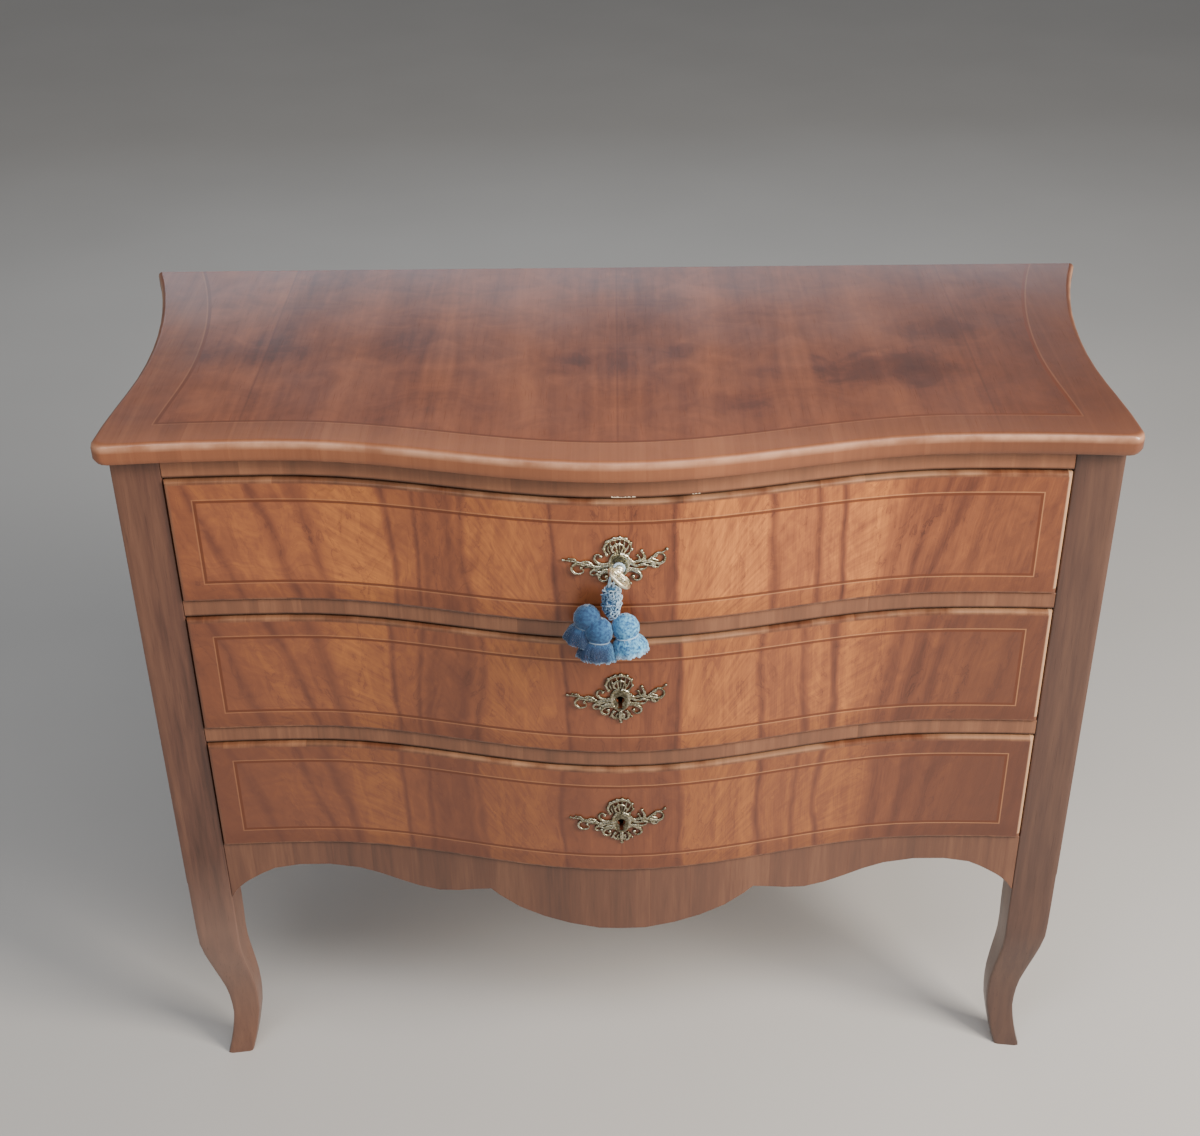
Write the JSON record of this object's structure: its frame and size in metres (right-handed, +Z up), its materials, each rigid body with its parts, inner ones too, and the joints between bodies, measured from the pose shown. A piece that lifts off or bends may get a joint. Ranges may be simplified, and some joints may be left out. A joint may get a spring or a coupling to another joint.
{
  "type": "chest of drawers",
  "caption": "Serpentine-front chest of drawers with a shaped overhanging top, scalloped apron, cabriole legs, pierced brass escutcheons, and a key with a tassel in the upper lock.",
  "frame": {"origin": "on the floor, under the middle of the box that holds the chest and its key", "axes": "+X to the right as seen from the front, +Y towards the back, +Z up"},
  "size_m": [1.1252, 0.5375, 0.9],
  "materials": {
    "carcase_walnut": "waxed, satin",
    "top_walnut": "polished, satin",
    "front_veneer": "polished, satin",
    "secondary_wood": "bare, dry",
    "iron": "dark, oiled",
    "aged_brass": "aged, worn bright on the relief",
    "key_brass": "pale, worn bright",
    "blue_yarn": "soft silky yarn"
  },
  "bodies": {
    "carcase": {"top": "top_walnut", "front_post_left": "carcase_walnut", "front_post_right": "carcase_walnut", "rear_post_left": "carcase_walnut", "rear_post_right": "carcase_walnut", "side_panel_left": "carcase_walnut", "side_panel_right": "carcase_walnut", "top_rail": "carcase_walnut", "upper_divider_rail": "carcase_walnut", "lower_divider_rail": "carcase_walnut", "apron": "carcase_walnut", "bottom_front_rail": "secondary_wood", "top_rear_rail": "secondary_wood", "bottom_rear_rail": "secondary_wood", "backboard_1": "secondary_wood", "backboard_2": "secondary_wood", "backboard_3": "secondary_wood", "runner_1_left": "secondary_wood", "runner_1_right": "secondary_wood", "runner_2_left": "secondary_wood", "runner_2_right": "secondary_wood", "runner_3_left": "secondary_wood", "runner_3_right": "secondary_wood", "kicker_left": "secondary_wood", "kicker_right": "secondary_wood"},
    "drawer_1": {"drawer_1_front": "front_veneer", "drawer_1_side_left": "secondary_wood", "drawer_1_side_right": "secondary_wood", "drawer_1_back": "secondary_wood", "drawer_1_bottom": "secondary_wood", "drawer_1_lock_case": "iron", "drawer_1_escutcheon": "aged_brass"},
    "drawer_2": {"drawer_2_front": "front_veneer", "drawer_2_side_left": "secondary_wood", "drawer_2_side_right": "secondary_wood", "drawer_2_back": "secondary_wood", "drawer_2_bottom": "secondary_wood", "drawer_2_lock_case": "iron", "drawer_2_escutcheon": "aged_brass"},
    "drawer_3": {"drawer_3_front": "front_veneer", "drawer_3_side_left": "secondary_wood", "drawer_3_side_right": "secondary_wood", "drawer_3_back": "secondary_wood", "drawer_3_bottom": "secondary_wood", "drawer_3_lock_case": "iron", "drawer_3_escutcheon": "aged_brass"},
    "bolt_1": {"drawer_1_lock_bolt": "iron"},
    "bolt_2": {"drawer_2_lock_bolt": "iron"},
    "bolt_3": {"drawer_3_lock_bolt": "iron"},
    "key": {"key": "key_brass"},
    "tassel": {"tassel_loop": "blue_yarn", "tassel_head": "blue_yarn", "tassel_tuft_left": "blue_yarn", "tassel_tuft_middle": "blue_yarn", "tassel_tuft_right": "blue_yarn"}
  },
  "joints": [
    {"name": "drawer_1_slide", "type": "slide", "parent": "carcase", "child": "drawer_1", "axis": [0, -1, 0], "range_m": [0, 0.32]},
    {"name": "drawer_2_slide", "type": "slide", "parent": "carcase", "child": "drawer_2", "axis": [0, -1, 0], "range_m": [0, 0.32]},
    {"name": "drawer_3_slide", "type": "slide", "parent": "carcase", "child": "drawer_3", "axis": [0, -1, 0], "range_m": [0, 0.32]},
    {"name": "key_turn", "type": "hinge", "parent": "drawer_1", "child": "key", "pos_m": [0, -0.235, 0.7755], "axis": [0, 1, 0], "range_deg": [-315, 47]},
    {"name": "bolt_1_slide", "type": "slide", "parent": "drawer_1", "child": "bolt_1", "axis": [0, 0, 1], "range_m": [-0.00117, 0.008]},
    {"name": "bolt_2_slide", "type": "slide", "parent": "drawer_2", "child": "bolt_2", "axis": [0, 0, 1], "range_m": [0, 0.008]},
    {"name": "bolt_3_slide", "type": "slide", "parent": "drawer_3", "child": "bolt_3", "axis": [0, 0, 1], "range_m": [0, 0.008]},
    {"name": "tassel_swing", "type": "hinge", "parent": "drawer_1", "child": "tassel", "pos_m": [0, -0.234, 0.7755], "axis": [0, 1, 0], "range_deg": [-10, 10]}
  ],
  "couplings": [
    {"joint": "key_turn", "follows": "bolt_1_slide", "rad_per_m": -685.4}
  ]
}
